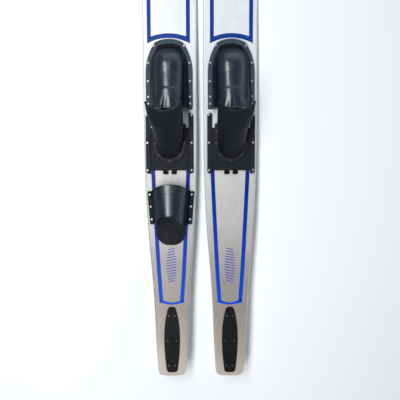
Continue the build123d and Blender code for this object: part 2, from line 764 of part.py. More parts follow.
def ski(side_name, hand, with_rear_toe):
    """Every piece of one ski, level and with its tail end at the origin; hand -1 is its mirror image."""
    root_spots = toe_spots() + rail_spots(1) + rail_spots(-1) + fin_spots()
    if with_rear_toe:
        root_spots += rear_toe_spots(1) + rear_toe_spots(-1)
    body = ski_body()
    sheet_line = deck_curve(top_sheet_thickness)
    shell_line = underside_curve(base_shell_thickness)
    core = (body & layer(shell_line, sheet_line)) - fin_slot()
    sheet = (body & layer(sheet_line, deck_curve(-10))) - fin_slot()
    shell = (body & layer(underside_curve(-10), shell_line)) - fin_slot() - tunnel()
    for x, y in root_spots:
        bore = rod(x, y, insert_radius, deck - insert_length, deck + 1)
        core -= bore
        sheet -= bore
    pieces = {
        "core": core,
        "top_sheet": sheet,
        "base_shell": shell,
        "threaded_inserts": [insert(x, y) for x, y in root_spots],
        "toe_foot_pad": foot_pad(44.0, toe_rear - 4, toe_front - 66.0, 30.0, deck, pad_thickness),
        "toe_rubber": toe_rubber(),
        "toe_frame": toe_frame(),
        "toe_screws": screws(toe_spots(), toe_seat(), strip_thickness + flange_thickness + screw_grip),
        "inner_heel_rail": rail(1),
        "outer_heel_rail": rail(-1),
        "heel_rail_screws": screws(
            rail_spots(1) + rail_spots(-1), deck + rail_height, rail_height + screw_grip
        ),
        "heel_plate": heel_plate(),
        "heel_foot_pad": foot_pad(
            30.5, plate_rear() + 53.0, plate_front - 2, 26.0, plate_top(), pad_thickness
        ),
        "heel_rubber": heel_rubber(),
        "heel_horseshoe": horseshoe(),
        "heel_screws": screws(
            heel_spots(), plate_top() + flange_thickness + strip_thickness,
            flange_thickness + strip_thickness + 2.8,
        ),
        "inner_lock_lever": lever(1),
        "outer_lock_lever": lever(-1),
        "lock_pivot_pins": pivot_pins(),
        "lock_spring": lock_spring(),
        "fin_plate": fin_plate(),
        "fin": fin(),
        "fin_pins": fin_pins(),
        "fin_screws": screws(fin_spots(), deck + fin_plate_thickness, fin_plate_thickness + screw_grip),
    }
    if with_rear_toe:
        pieces["rear_toe_rubber"] = rear_toe_rubber()
        pieces["rear_toe_inner_strip"] = rear_toe_strip(1)
        pieces["rear_toe_outer_strip"] = rear_toe_strip(-1)
        pieces["rear_toe_screws"] = screws(
            rear_toe_spots(1) + rear_toe_spots(-1),
            deck + flange_thickness + strip_thickness,
            strip_thickness + flange_thickness + screw_grip,
        )
        pieces["rear_foot_pad"] = Pos(-binding_offset, 0, 0) * foot_pad(
            rear_pad_half_width, rear_pad_rear, rear_toe_front - 8, 42.0, deck, pad_thickness
        )
    return {f"{side_name}_{name}": as_part(piece, hand) for name, piece in pieces.items()}


def as_part(piece, hand):
    solids = piece if isinstance(piece, list) else [piece]
    found = [solid for shape in solids for solid in shape.solids()]
    if hand < 0:
        found = [solid.mirror(Plane.YZ) for solid in found]
    return found[0] if len(found) == 1 else Compound(children=found)


def rest_tilt():
    """Nose-down angle, in radians, of a ski that stands on its fin tip and its front rocker."""
    fin_y, fin_z = fin_tip_centre()
    along = front_rocker_start - fin_y
    up = front_rocker_radius - fin_z
    drop = front_rocker_radius - fin_tip_radius
    return math.acos(drop / math.hypot(along, up)) - math.atan2(along, up)


def floor_level():
    """Height of the floor under the ski's own origin, once it is tilted."""
    tilt = rest_tilt()
    fin_y, fin_z = fin_tip_centre()
    return -fin_y * math.sin(tilt) + fin_z * math.cos(tilt) - fin_tip_radius


def main():
    os.makedirs("parts", exist_ok=True)
    tilt = Rot(-math.degrees(rest_tilt()), 0, 0)
    left = {name: tilt * piece for name, piece in ski("left", 1, True).items()}
    right = {name: tilt * piece for name, piece in ski("right", -1, False).items()}
    ends = left["left_core"].bounding_box()
    sheet = left["left_top_sheet"].bounding_box()
    low_y = min(ends.min.Y, sheet.min.Y, left["left_base_shell"].bounding_box().min.Y)
    high_y = max(ends.max.Y, sheet.max.Y, left["left_base_shell"].bounding_box().max.Y)
    for pieces, side in ((left, -1), (right, 1)):
        place = Pos(side * ski_spacing / 2, -(low_y + high_y) / 2, -floor_level())
        for name, piece in pieces.items():
            export_step(place * piece, f"parts/{name}.step")
    print("tilt", math.degrees(rest_tilt()), "shift", -(low_y + high_y) / 2, "lift", -floor_level())
    print("locked", locked_angle(), "squeezed", squeezed_angle(), "pivot", lever_pivot())


main()
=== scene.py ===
import json
import math

import bmesh
import bpy
import numpy as np
from mathutils import Matrix, Vector


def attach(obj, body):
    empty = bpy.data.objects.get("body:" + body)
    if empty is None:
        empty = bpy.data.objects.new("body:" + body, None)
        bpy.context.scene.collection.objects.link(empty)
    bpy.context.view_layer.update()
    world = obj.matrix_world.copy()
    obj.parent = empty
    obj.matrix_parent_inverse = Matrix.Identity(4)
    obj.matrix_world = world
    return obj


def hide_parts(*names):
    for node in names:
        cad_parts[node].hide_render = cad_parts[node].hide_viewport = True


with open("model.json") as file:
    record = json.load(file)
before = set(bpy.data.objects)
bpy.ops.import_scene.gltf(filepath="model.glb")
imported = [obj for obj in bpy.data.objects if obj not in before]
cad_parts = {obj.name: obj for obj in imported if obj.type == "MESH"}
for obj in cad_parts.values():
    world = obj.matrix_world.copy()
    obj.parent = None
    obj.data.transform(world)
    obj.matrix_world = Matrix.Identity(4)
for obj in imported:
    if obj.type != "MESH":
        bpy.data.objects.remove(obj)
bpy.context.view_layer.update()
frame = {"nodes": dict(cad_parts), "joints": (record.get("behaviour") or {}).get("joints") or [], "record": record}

nodes = frame["nodes"]
record = frame["record"]
joints = {joint["name"]: joint for joint in frame["joints"]}
mounts = {mount["name"]: mount for mount in record["mounts"]}

# ---------------------------------------------------------------- the two skis' own frames

MM = 0.001
BASE_POINT = 900.0
DECK = 18.0
BINDING = -2.5
SKI_LENGTH = 1702.0
SIDES = {"left": -1, "right": 1}

along = Vector(joints["left_heel_slide"]["axis"]).normalized()
upward = -Vector(mounts["left_running_base"]["axis"]).normalized()
across = Vector((1, 0, 0))
origins = {
    side: Vector(mounts[f"{side}_running_base"]["pos_m"]) - along * BASE_POINT * MM for side in SIDES
}


def to_row(points, side):
    """Level ski millimetres (x towards the inner side, y from the tail, z up) to row metres."""
    points = np.asarray(points, float).reshape(-1, 3) * MM
    x = points[:, 0] * (1 if side == "left" else -1)
    basis = np.array([across, along, upward])
    return np.column_stack([x, points[:, 1], points[:, 2]]) @ basis + np.array(origins[side])


# ---------------------------------------------------------------- materials

def new_material(name, roughness=0.5, metallic=0.0, coat=0.0, coat_roughness=0.1, specular=0.5):
    material = bpy.data.materials.new(name)
    material.use_nodes = True
    shader = material.node_tree.nodes["Principled BSDF"]
    shader.inputs["Roughness"].default_value = roughness
    shader.inputs["Metallic"].default_value = metallic
    shader.inputs["Coat Weight"].default_value = coat
    shader.inputs["Coat Roughness"].default_value = coat_roughness
    shader.inputs["Specular IOR Level"].default_value = specular
    return material, material.node_tree, shader


def add(tree, kind, inputs=None, **settings):
    node = tree.nodes.new(kind)
    for key, value in settings.items():
        setattr(node, key, value)
    for key, value in (inputs or {}).items():
        if isinstance(value, bpy.types.NodeSocket):
            tree.links.new(value, node.inputs[key])
        else:
            node.inputs[key].default_value = value
    return node


def position(tree):
    return add(tree, "ShaderNodeTexCoord").outputs["Object"]


def noise(tree, scale, detail=4.0, roughness=0.6, vector=None):
    return add(
        tree, "ShaderNodeTexNoise",
        {"Vector": vector or position(tree), "Scale": scale, "Detail": detail, "Roughness": roughness},
    ).outputs["Fac"]


def ramp(tree, factor, stops):
    node = add(tree, "ShaderNodeValToRGB", {"Fac": factor})
    elements = node.color_ramp.elements
    while len(elements) < len(stops):
        elements.new(0.5)
    for element, (place, colour) in zip(elements, stops):
        element.position = place
        element.color = (*colour, 1.0) if len(colour) == 3 else colour
    return node.outputs["Color"]


def grey_ramp(tree, factor, low, high, start=0.3, end=0.7):
    return ramp(tree, factor, [(start, (low,) * 3), (end, (high,) * 3)])


def mix(tree, factor, first, second, blend="MIX"):
    node = add(tree, "ShaderNodeMix", data_type="RGBA", blend_type=blend)
    for socket, value in (("Factor", factor), ("A", first), ("B", second)):
        target = [i for i in node.inputs if i.name == socket and i.enabled][0]
        if isinstance(value, bpy.types.NodeSocket):
            tree.links.new(value, target)
        else:
            target.default_value = value
    return [o for o in node.outputs if o.enabled][0]


def maths(tree, operation, first, second):
    return add(tree, "ShaderNodeMath", {0: first, 1: second}, operation=operation).outputs[0]


def bump(tree, shader, height, strength, distance):
    node = add(tree, "ShaderNodeBump", {"Height": height, "Strength": strength, "Distance": distance})
    tree.links.new(node.outputs["Normal"], shader.inputs["Normal"])
    return node


def along_ski(tree):
    """Distance from the tail end along the ski, in metres, from the object position."""
    node = add(tree, "ShaderNodeVectorMath", {0: position(tree), 1: tuple(along)}, operation="DOT_PRODUCT")
    return maths(tree, "SUBTRACT", node.outputs["Value"], float(along.dot(origins["left"])))


def stretched(tree, scale_along, scale_across):
    """Object position squeezed across the ski, so that grain runs along it."""
    scale = (scale_across, scale_along, scale_across)
    return add(tree, "ShaderNodeMapping", {"Vector": position(tree), "Scale": scale}).outputs["Vector"]


def deck_material():
    """Silver metallic laminate with fine flake and scuffs; its colour runs from cool white in front to a darker
    warm silver behind, a painted reflection of pale sky and warm ground and a painted fall-off of light along the
    ski.
    """
    material, tree, shader = new_material("silver_deck_laminate", 0.40, 0.10, 0.20, 0.15, 0.35)
    place = maths(tree, "DIVIDE", along_ski(tree), SKI_LENGTH * MM)
    waver = maths(tree, "SUBTRACT", maths(tree, "MULTIPLY", noise(tree, 3.0, 2.0), 0.06), 0.03)
    place = maths(tree, "ADD", place, waver)
    # painted reflection and painted light fall-off: the colour follows the place along the ski, cool white in
    # front, darkest warm silver behind the bindings, a little paler at the tail end
    base = ramp(tree, place, [
        (0.02, (0.50, 0.43, 0.36)),
        (0.06, (0.43, 0.35, 0.285)),
        (0.13, (0.32, 0.27, 0.23)),
        (0.20, (0.335, 0.30, 0.27)),
        (0.27, (0.47, 0.45, 0.42)),
        (0.36, (0.57, 0.56, 0.53)),
        (0.52, (0.74, 0.745, 0.74)),
        (0.64, (0.81, 0.825, 0.85)),
        (1.00, (0.81, 0.825, 0.85)),
    ])
    flake = grey_ramp(tree, noise(tree, 2600.0, 1.0), 0.93, 1.06, 0.35, 0.65)
    brushed = grey_ramp(tree, noise(tree, 260.0, 3.0, 0.6, stretched(tree, 0.04, 1.0)), 0.965, 1.03)
    cloud = grey_ramp(tree, noise(tree, 16.0, 5.0), 0.95, 1.03)
    colour = mix(tree, 1.0, base, flake, "MULTIPLY")
    colour = mix(tree, 1.0, colour, brushed, "MULTIPLY")
    colour = mix(tree, 1.0, colour, cloud, "MULTIPLY")
    specks = ramp(tree, noise(tree, 240.0, 2.0, 0.5), [(0.735, (0, 0, 0)), (0.76, (1, 1, 1))])
    colour = mix(tree, maths(tree, "MULTIPLY", specks, 0.5), colour, (0.16, 0.15, 0.14, 1))
    lines = noise(tree, 70.0, 3.0, 0.55, stretched(tree, 0.05, 1.6))
    scratch = ramp(tree, lines, [(0.70, (0, 0, 0)), (0.72, (1, 1, 1))])
    colour = mix(tree, maths(tree, "MULTIPLY", scratch, 0.22), colour, (0.95, 0.95, 0.93, 1))
    tree.links.new(colour, shader.inputs["Base Color"])
    rough = grey_ramp(tree, noise(tree, 45.0, 5.0), 0.28, 0.46)
    tree.links.new(rough, shader.inputs["Roughness"])
    bump(tree, shader, scratch, 0.25, 0.00008)
    return material


def edge_material():
    """The sidewall of the core: sealed pale laminate edge with faint layers and knocks."""
    material, tree, shader = new_material("laminate_edge", 0.4, 0.1, 0.25, 0.2)
    grain = noise(tree, 190.0, 4.0, 0.6, stretched(tree, 0.03, 1.0))
    base = ramp(tree, grain, [(0.3, (0.50, 0.49, 0.47)), (0.7, (0.72, 0.72, 0.71))])
    knocks = ramp(tree, noise(tree, 60.0, 5.0), [(0.66, (0, 0, 0)), (0.72, (1, 1, 1))])
    colour = mix(tree, maths(tree, "MULTIPLY", knocks, 0.5), base, (0.30, 0.26, 0.21, 1))
    tree.links.new(colour, shader.inputs["Base Color"])
    bump(tree, shader, grain, 0.2, 0.0001)
    return material


def base_material():
    """The running base: smooth white gel with long use marks."""
    material, tree, shader = new_material("running_base_gel", 0.22, 0.0, 0.6, 0.06)
    marks = noise(tree, 120.0, 4.0, 0.6, stretched(tree, 0.02, 1.0))
    base = ramp(tree, marks, [(0.35, (0.62, 0.64, 0.66)), (0.62, (0.80, 0.81, 0.82))])
    dull = grey_ramp(tree, noise(tree, 18.0, 5.0), 0.18, 0.38)
    tree.links.new(base, shader.inputs["Base Color"])
    tree.links.new(dull, shader.inputs["Roughness"])
    bump(tree, shader, marks, 0.12, 0.00008)
    return material


def blue_material():
    """Screen-printed blue: slightly uneven ink with pinholes under the gloss, brightest towards the tail and
    deeper from behind the bindings to the tip as painted light and shade along the ski.
    """
    material, tree, shader = new_material("printed_blue", 0.35, 0.0, 0.04, 0.1, 0.12)
    place = maths(tree, "DIVIDE", along_ski(tree), SKI_LENGTH * MM)
    # painted light and shade: the same ink is made brighter or deeper by its place along the ski
    base = ramp(tree, place, [
        (0.12, (0.0005, 0.075, 0.62)),
        (0.26, (0.0005, 0.038, 0.40)),
        (0.36, (0.0005, 0.018, 0.25)),
        (0.60, (0.004, 0.045, 0.27)),
        (0.95, (0.005, 0.050, 0.29)),
    ])
    cloud = grey_ramp(tree, noise(tree, 90.0, 5.0), 0.86, 1.12)
    colour = mix(tree, 1.0, base, cloud, "MULTIPLY")
    holes = ramp(tree, noise(tree, 520.0, 1.0), [(0.77, (0, 0, 0)), (0.79, (1, 1, 1))])
    colour = mix(tree, maths(tree, "MULTIPLY", holes, 0.6), colour, (0.7, 0.7, 0.7, 1))
    tree.links.new(colour, shader.inputs["Base Color"])
    return material


def paler(colour, times):
    """The worn or dusty tone of a dark finish."""
    return tuple(times * c + 0.01 for c in colour) + (1,)


def rubber_material(name, base, high, roughness, pore_scale, pore_strength, dust, specular, coat=0.0):
    """Moulded rubber: bloom, faint dust and a fine pore."""
    material, tree, shader = new_material(name, roughness, 0.0, coat, 0.17, specular)
    colour = ramp(tree, noise(tree, 26.0, 6.0), [(0.32, base), (0.72, high)])
    powder = ramp(tree, noise(tree, 75.0, 6.0), [(0.62, (0, 0, 0)), (0.80, (1, 1, 1))])
    colour = mix(tree, maths(tree, "MULTIPLY", powder, dust), colour, paler(high, 3.2))
    tree.links.new(colour, shader.inputs["Base Color"])
    spread = grey_ramp(tree, noise(tree, 34.0, 5.0), max(roughness - 0.06, 0.05), roughness + 0.08)
    tree.links.new(spread, shader.inputs["Roughness"])
    bump(tree, shader, noise(tree, pore_scale, 3.0, 0.7), pore_strength, 0.0002)
    if coat > 0:
        # painted shade: coat and specular fade on steep flanks by the way they face, so the flanks hold no
        # reflection and stay dark
        normal = add(tree, "ShaderNodeNewGeometry").outputs["Normal"]
        slope = add(tree, "ShaderNodeSeparateXYZ", {0: normal})
        slope_painted_shade = ramp(tree, slope.outputs["Z"], [(0.62, (0.05, 0.05, 0.05)), (0.82, (1, 1, 1))])
        tree.links.new(maths(tree, "MULTIPLY", slope_painted_shade, coat), shader.inputs["Coat Weight"])
        tree.links.new(maths(tree, "MULTIPLY", slope_painted_shade, specular), shader.inputs["Specular IOR Level"])
    return material


def plastic_material(name, base, high, roughness=0.42, specular=0.12):
    """Injection-moulded strip plastic with a spark-eroded texture and pale scuffs."""
    material, tree, shader = new_material(name, roughness, specular=specular)
    tone = ramp(tree, noise(tree, 40.0, 5.0), [(0.3, base), (0.72, high)])
    scuffs = noise(tree, 210.0, 4.0, 0.6, stretched(tree, 0.12, 1.0))
    scuffs = ramp(tree, scuffs, [(0.66, (0, 0, 0)), (0.74, (1, 1, 1))])
    colour = mix(tree, maths(tree, "MULTIPLY", scuffs, 0.22), tone, paler(high, 3.5))
    tree.links.new(colour, shader.inputs["Base Color"])
    cells = add(tree, "ShaderNodeTexVoronoi", {"Vector": position(tree), "Scale": 1100.0})
    spread = grey_ramp(tree, noise(tree, 30.0, 4.0), roughness - 0.07, roughness + 0.12)
    tree.links.new(spread, shader.inputs["Roughness"])
    bump(tree, shader, cells.outputs["Distance"], 0.3, 0.00015)
    return material


def metal_material(name, base, high, roughness):
    """Worn metal: fine turning marks, water stain in patches."""
    material, tree, shader = new_material(name, roughness, 1.0)
    tone = ramp(tree, noise(tree, 420.0, 4.0), [(0.3, base), (0.7, high)])
    stain = ramp(tree, noise(tree, 130.0, 5.0), [(0.55, (0, 0, 0)), (0.75, (1, 1, 1))])
    colour = mix(tree, maths(tree, "MULTIPLY", stain, 0.12), tone, (0.30, 0.24, 0.16, 1))
    tree.links.new(colour, shader.inputs["Base Color"])
    spread = grey_ramp(tree, noise(tree, 300.0, 3.0), roughness - 0.08, roughness + 0.12)
    tree.links.new(spread, shader.inputs["Roughness"])
    bump(tree, shader, noise(tree, 1500.0, 2.0, 0.5, stretched(tree, 0.1, 1.0)), 0.12, 0.00006)
    return material


deck_silver = deck_material()
edge_pale = edge_material()
base_white = base_material()
print_blue = blue_material()
gloss_rubber = rubber_material(
    "gloss_toe_rubber", (0.0035, 0.0085, 0.0175), (0.0065, 0.014, 0.027),
    roughness=0.32, pore_scale=900.0, pore_strength=0.08, dust=0.05, specular=0.62, coat=0.62,
)
# painted highlight: a lighter, glossier copy of the toe rubber for the rolled lip, standing in for light caught on
# its edge
lip_painted_highlight = rubber_material(
    "toe_lip_painted_highlight", (0.020, 0.028, 0.036), (0.036, 0.048, 0.060),
    roughness=0.34, pore_scale=900.0, pore_strength=0.1, dust=0.1, specular=0.8,
)
# painted shade: a darker, duller copy of the toe rubber for the flange, which shows in the recess between frame
# and dome
flange_painted_shade = rubber_material(
    "toe_flange_painted_shade", (0.003, 0.004, 0.006), (0.006, 0.007, 0.010),
    roughness=0.6, pore_scale=900.0, pore_strength=0.1, dust=0.04, specular=0.15,
)
matte_rubber = rubber_material(
    "matte_heel_rubber", (0.0028, 0.0042, 0.0062), (0.0050, 0.0068, 0.0095),
    roughness=0.52, pore_scale=1300.0, pore_strength=0.22, dust=0.12, specular=0.25,
)
# painted highlight: a lighter copy of the heel rubber for the rolled rim, standing in for light caught on its edge
rim_painted_highlight = rubber_material(
    "heel_rim_rubber", (0.008, 0.010, 0.013), (0.015, 0.018, 0.022),
    roughness=0.45, pore_scale=900.0, pore_strength=0.12, dust=0.1, specular=0.25,
)
foam = rubber_material(
    "foot_pad_foam", (0.008, 0.0085, 0.010), (0.017, 0.018, 0.021),
    roughness=0.75, pore_scale=1700.0, pore_strength=0.6, dust=0.25, specular=0.2,
)
toe_plastic = plastic_material(
    "toe_frame_plastic", (0.036, 0.052, 0.070), (0.056, 0.078, 0.105), specular=0.14
)
rear_plastic = plastic_material(
    "rear_strip_plastic", (0.004, 0.0045, 0.0055), (0.008, 0.009, 0.011), specular=0.1
)
rail_plastic = plastic_material("rail_plastic", (0.010, 0.012, 0.016), (0.019, 0.021, 0.027))
heel_plastic = plastic_material(
    "heel_plate_plastic", (0.007, 0.0085, 0.010), (0.014, 0.016, 0.019), roughness=0.46
)
ring_plastic = plastic_material(
    "heel_ring_plastic", (0.011, 0.012, 0.014), (0.021, 0.023, 0.026), roughness=0.44
)
lever_plastic = plastic_material(
    "lever_plastic", (0.002, 0.002, 0.003), (0.004, 0.004, 0.005), roughness=0.40, specular=0.08
)
fin_plastic = plastic_material(
    "fin_plate_plastic", (0.003, 0.0032, 0.0036), (0.007, 0.0075, 0.008), roughness=0.44
)
steel = metal_material("stainless_screw", (0.34, 0.32, 0.30), (0.52, 0.49, 0.46), 0.34)
dull_steel = metal_material("dull_heel_screw", (0.055, 0.05, 0.042), (0.11, 0.10, 0.085), 0.42)
fin_alloy = metal_material("fin_alloy", (0.56, 0.57, 0.59), (0.70, 0.71, 0.73), 0.34)
brass = metal_material("insert_brass", (0.55, 0.40, 0.16), (0.70, 0.54, 0.25), 0.32)


def dress_cad_nodes():
    """Gives each rigid CAD node its finish, by the part of its name after the side."""
    finish = {
        "top_sheet": deck_silver,
        "core": edge_pale,
        "base_shell": base_white,
        "threaded_inserts": brass,
        "toe_frame": toe_plastic,
        "toe_screws": steel,
        "inner_heel_rail": rail_plastic,
        "outer_heel_rail": rail_plastic,
        "heel_rail_screws": steel,
        "heel_plate": heel_plastic,
        "heel_horseshoe": ring_plastic,
        "heel_screws": dull_steel,
        "inner_lock_lever": lever_plastic,
        "outer_lock_lever": lever_plastic,
        "lock_pivot_pins": steel,
        "lock_spring": steel,
        "fin_plate": fin_plastic,
        "fin": fin_alloy,
        "fin_pins": steel,
        "fin_screws": dull_steel,
        "rear_toe_inner_strip": rear_plastic,
        "rear_toe_outer_strip": rear_plastic,
        "rear_toe_screws": steel,
    }
    for name, node in nodes.items():
        part = name.split("_", 1)[1]
        if part in finish:
            node.data.materials.clear()
            node.data.materials.append(finish[part])


# ---------------------------------------------------------------- mesh helpers

WELD = 0.00002  # metres


def add_piece(name, points, faces, material, side, body, slot, smooth=True):
    """A mesh given in level ski millimetres; the right ski gets its mirror image."""
    if side == "right":
        faces = [tuple(reversed(face)) for face in faces]
    mesh = bpy.data.meshes.new(name)
    faces = [tuple(int(i) for i in face) for face in faces]
    mesh.from_pydata(to_row(points, side).tolist(), [], faces)
    mesh.update()
    mesh.materials.append(material)
    for polygon in mesh.polygons:
        polygon.use_smooth = smooth
    piece = bpy.data.objects.new(name, mesh)
    bpy.context.scene.collection.objects.link(piece)
    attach(piece, body)
    return piece


def grid_faces(rows, columns, wrap_columns=False):
    """Quads of a grid of points stored row by row."""
    faces = []
    last = columns if wrap_columns else columns - 1
    for row in range(rows - 1):
        for column in range(last):
            a = row * columns + column
            b = row * columns + (column + 1) % columns
            faces.append((a, b, b + columns, a + columns))
    return faces


def closed_shell(grid, thickness):
    """Gives a grid surface (rows x columns x 3) its wall: an inner copy along the normals, and rims."""
    grid = np.asarray(grid, float)
    rows, columns = grid.shape[:2]
    by_row = np.gradient(grid, axis=0)
    by_column = np.gradient(grid, axis=1)
    normals = np.cross(by_row, by_column)
    lengths = np.linalg.norm(normals, axis=2, keepdims=True)
    normals = normals / np.maximum(lengths, 1e-9)
    inner = grid - normals * thickness
    points = np.concatenate([grid.reshape(-1, 3), inner.reshape(-1, 3)])
    offset_in = rows * columns
    faces = [tuple(reversed(face)) for face in grid_faces(rows, columns)]
    faces += [tuple(i + offset_in for i in reversed(face)) for face in faces]
    border = [(0, c) for c in range(columns - 1)] + [(r, columns - 1) for r in range(rows - 1)]
    border += [(rows - 1, c) for c in range(columns - 1, 0, -1)]
    border += [(r, 0) for r in range(rows - 1, 0, -1)]
    ids = [r * columns + c for r, c in border]
    for a, b in zip(ids, ids[1:] + ids[:1]):
        faces.append((a + offset_in, b + offset_in, b, a))
    return points, faces


def weld(piece):
    """Joins points that coincide, drops what collapses and turns the faces outward."""
    work = bmesh.new()
    work.from_mesh(piece.data)
    bmesh.ops.remove_doubles(work, verts=work.verts, dist=WELD)
    bmesh.ops.dissolve_degenerate(work, edges=work.edges, dist=WELD * 0.5)
    bmesh.ops.recalc_face_normals(work, faces=work.faces)
    work.to_mesh(piece.data)
    work.free()


def smoothed(piece):
    modifier = piece.modifiers.new("smooth_surface", "SUBSURF")
    modifier.levels = 1
    modifier.render_levels = 1


def swept_bead(path, radius, sides=12):
    """A round bead along a list of points, in level ski millimetres."""
    path = np.asarray(path, float)
    tangents = np.gradient(path, axis=0)
    tangents /= np.linalg.norm(tangents, axis=1, keepdims=True)
    points = []
    radii = radius * np.ones(len(path))
    radii[0] = radii[-1] = 0.35 * radius
    for place, tangent, r in zip(path, tangents, radii):
        first = np.cross(tangent, (0.0, 0.0, 1.0))
        first /= np.linalg.norm(first)
        second = np.cross(first, tangent)
        for step in range(sides):
            angle = 2 * math.pi * step / sides
            points.append(place + r * (math.cos(angle) * first + math.sin(angle) * second))
    faces = grid_faces(len(path), sides, wrap_columns=True)
    count = len(points)
    faces.append(tuple(reversed(range(sides))))
    faces.append(tuple(range(count - sides, count)))
    return np.array(points), faces


def joined(parts):
    """One point list and one face list from several."""
    points, faces = [], []
    for part_points, part_faces in parts:
        start = sum(len(p) for p in points)
        points.append(np.asarray(part_points, float))
        faces += [tuple(i + start for i in face) for face in part_faces]
    return np.concatenate(points), faces


def step_up(value, edge, height, width):
    """A smooth step of the given height where value falls below edge."""
    share = np.clip((edge - value) / width, 0, 1)
    return height * share * share * (3 - 2 * share)


def ridge(distance, height, width):
    return height * np.exp(-((distance / width) ** 2))


# ---------------------------------------------------------------- shapes shared by the soft pieces

SWEEP_START, SWEEP_CHANGE = 1090.0, 1400.0
SWEEP_RADIUS, TIP_RADIUS = 2860.0, 1265.0


def deck_level(place):
    """Height of the deck above the flat base at a distance from the tail: level, then two arcs."""
    if place <= SWEEP_START:
        return DECK
    if place <= SWEEP_CHANGE:
        return DECK + SWEEP_RADIUS - math.sqrt(SWEEP_RADIUS**2 - (place - SWEEP_START) ** 2)
    turn = math.asin((SWEEP_CHANGE - SWEEP_START) / SWEEP_RADIUS)
    centre_y = SWEEP_CHANGE - TIP_RADIUS * math.sin(turn)
    centre_z = DECK + SWEEP_RADIUS * (1 - math.cos(turn)) + TIP_RADIUS * math.cos(turn)
    return centre_z - math.sqrt(TIP_RADIUS**2 - (place - centre_y) ** 2)


def eased(places, values, at):
    """Values between the given places, joined with a smooth monotone curve."""
    places, values = np.asarray(places, float), np.asarray(values, float)
    slopes = np.diff(values) / np.diff(places)
    ends = np.concatenate([[slopes[0]], (slopes[1:] + slopes[:-1]) / 2, [slopes[-1]]])
    ends[1:-1][slopes[1:] * slopes[:-1] <= 0] = 0
    index = np.clip(np.searchsorted(places, at) - 1, 0, len(slopes) - 1)
    span = places[index + 1] - places[index]
    t = np.clip((at - places[index]) / span, 0, 1)
    return (
        (2 * t**3 - 3 * t**2 + 1) * values[index]
        + (t**3 - 2 * t**2 + t) * span * ends[index]
        + (3 * t**2 - 2 * t**3) * values[index + 1]
        + (t**3 - t**2) * span * ends[index + 1]
    )


def reach(outline, centre, direction):
    """Where a ray from the centre leaves a closed outline."""
    best = None
    for a, b in zip(outline, outline[1:] + outline[:1]):
        edge = np.subtract(b, a)
        cross = direction[0] * edge[1] - direction[1] * edge[0]
        if abs(cross) < 1e-9:
            continue
        gap = np.subtract(a, centre)
        far = (gap[0] * edge[1] - gap[1] * edge[0]) / cross
        share = (gap[0] * direction[1] - gap[1] * direction[0]) / cross
        if far > 0 and -1e-9 <= share <= 1 + 1e-9 and (best is None or far > best):
            best = far
    return np.add(centre, np.multiply(direction, best))


def skin_plate(outer, inner, low, high):
    """A thin flange between an outer and an inner line, with its outer edge broken."""
    bevel = 0.7
    inward = (inner - outer) / np.linalg.norm(inner - outer, axis=1)[:, None]
    shoulder = outer + bevel * inward
    section = ((inner, low), (outer, low), (outer, high - bevel), (shoulder, high), (inner, high))
    count = len(outer)
    points = np.concatenate([np.column_stack([line, np.full(count, level)]) for line, level in section])
    faces = grid_faces(5, count)
    faces += [(4 * count + c, 4 * count + c + 1, c + 1, c) for c in range(count - 1)]
    faces.append(tuple(r * count for r in range(5)))
    faces.append(tuple(r * count + count - 1 for r in reversed(range(5))))
    return points, faces


# ---------------------------------------------------------------- front toe rubber

TOE_HALF = 56.6        # half width of the dome at its foot
TOE_REAR = 852.0
TOE_POLE = 962.0       # where the straight sides end and the nose begins
TOE_NOSE = 1039.0
TOE_SEAM = 914.0       # edge of the lapped collar
FRAME_HALF = 71.5
FRAME_NOSE = 1064.0
NOSE_HALF, NOSE_BACK = 43.0, 11.0
SHOULDER_IN, SHOULDER_LONG = 28.5, 91.0
FLANGE = 2.5
SKIN = 3.4             # wall of the glossy rubber
# half breadths at the rear edge and at the seam, and the height, of each fold
TOE_FOLDS = ((-46, -22, 1.9), (-29, -13, 2.3), (-12, -5, 1.6), (6, 2, 2.0), (24, 9, 1.7), (41, 18, 1.5))


def toe_outline():
    """Outer edge of the toe frame, in plan: a shallow nose arc, round shoulders and straight sides."""
    radius = (NOSE_HALF**2 + NOSE_BACK**2) / (2 * NOSE_BACK)
    half_angle = math.asin(NOSE_HALF / radius)
    nose = [
        (radius * math.sin(a), FRAME_NOSE - radius + radius * math.cos(a))
        for a in np.linspace(-half_angle, half_angle, 13)
    ]
    shoulder_radius = (SHOULDER_IN**2 + SHOULDER_LONG**2) / (2 * SHOULDER_IN)
    sweep = math.asin(SHOULDER_LONG / shoulder_radius)
    shoulder = [
        (FRAME_HALF - shoulder_radius * (1 - math.cos(a)), TOE_POLE + shoulder_radius * math.sin(a))
        for a in np.linspace(sweep, 0, 11)[1:]
    ] + [(FRAME_HALF, 700.0)]
    return nose + shoulder + [(-x, y) for x, y in reversed(shoulder)]


def toe_plan(steps_side, steps_nose):
    """Foot line of the dome from one rear end round the nose to the other, with its ridge points."""
    square = 2 / 2.8
    foot, crest = [], []
    for place in np.linspace(TOE_REAR, TOE_POLE, steps_side, endpoint=False):
        foot.append((-TOE_HALF, place))
        crest.append((0.0, place))
    for angle in np.linspace(math.pi, 0, steps_nose):
        c, s = math.cos(angle), math.sin(angle)
        x = TOE_HALF * math.copysign(abs(c) ** square, c)
        foot.append((x, TOE_POLE + (TOE_NOSE - TOE_POLE) * abs(s) ** square))
        crest.append((0.0, TOE_POLE))
    for place in np.linspace(TOE_POLE, TOE_REAR, steps_side + 1)[1:]:
        foot.append((TOE_HALF, place))
        crest.append((0.0, place))
    return np.array(foot), np.array(crest)


def toe_relief(x, y):
    """Outward relief of the dome: the lapped collar behind the seam and the folds that fan from it."""
    lift = step_up(y, TOE_SEAM, 1.5, 3.0)
    grow = np.clip((TOE_SEAM - 2 - y) / 46.0, 0, 1)
    back = np.clip((TOE_SEAM - y) / (TOE_SEAM - TOE_REAR), 0, 1)
    for rear_x, seam_x, height in TOE_FOLDS:
        lift = lift + ridge(x - seam_x - (rear_x - seam_x) * back, height, 5.5) * grow
    return lift


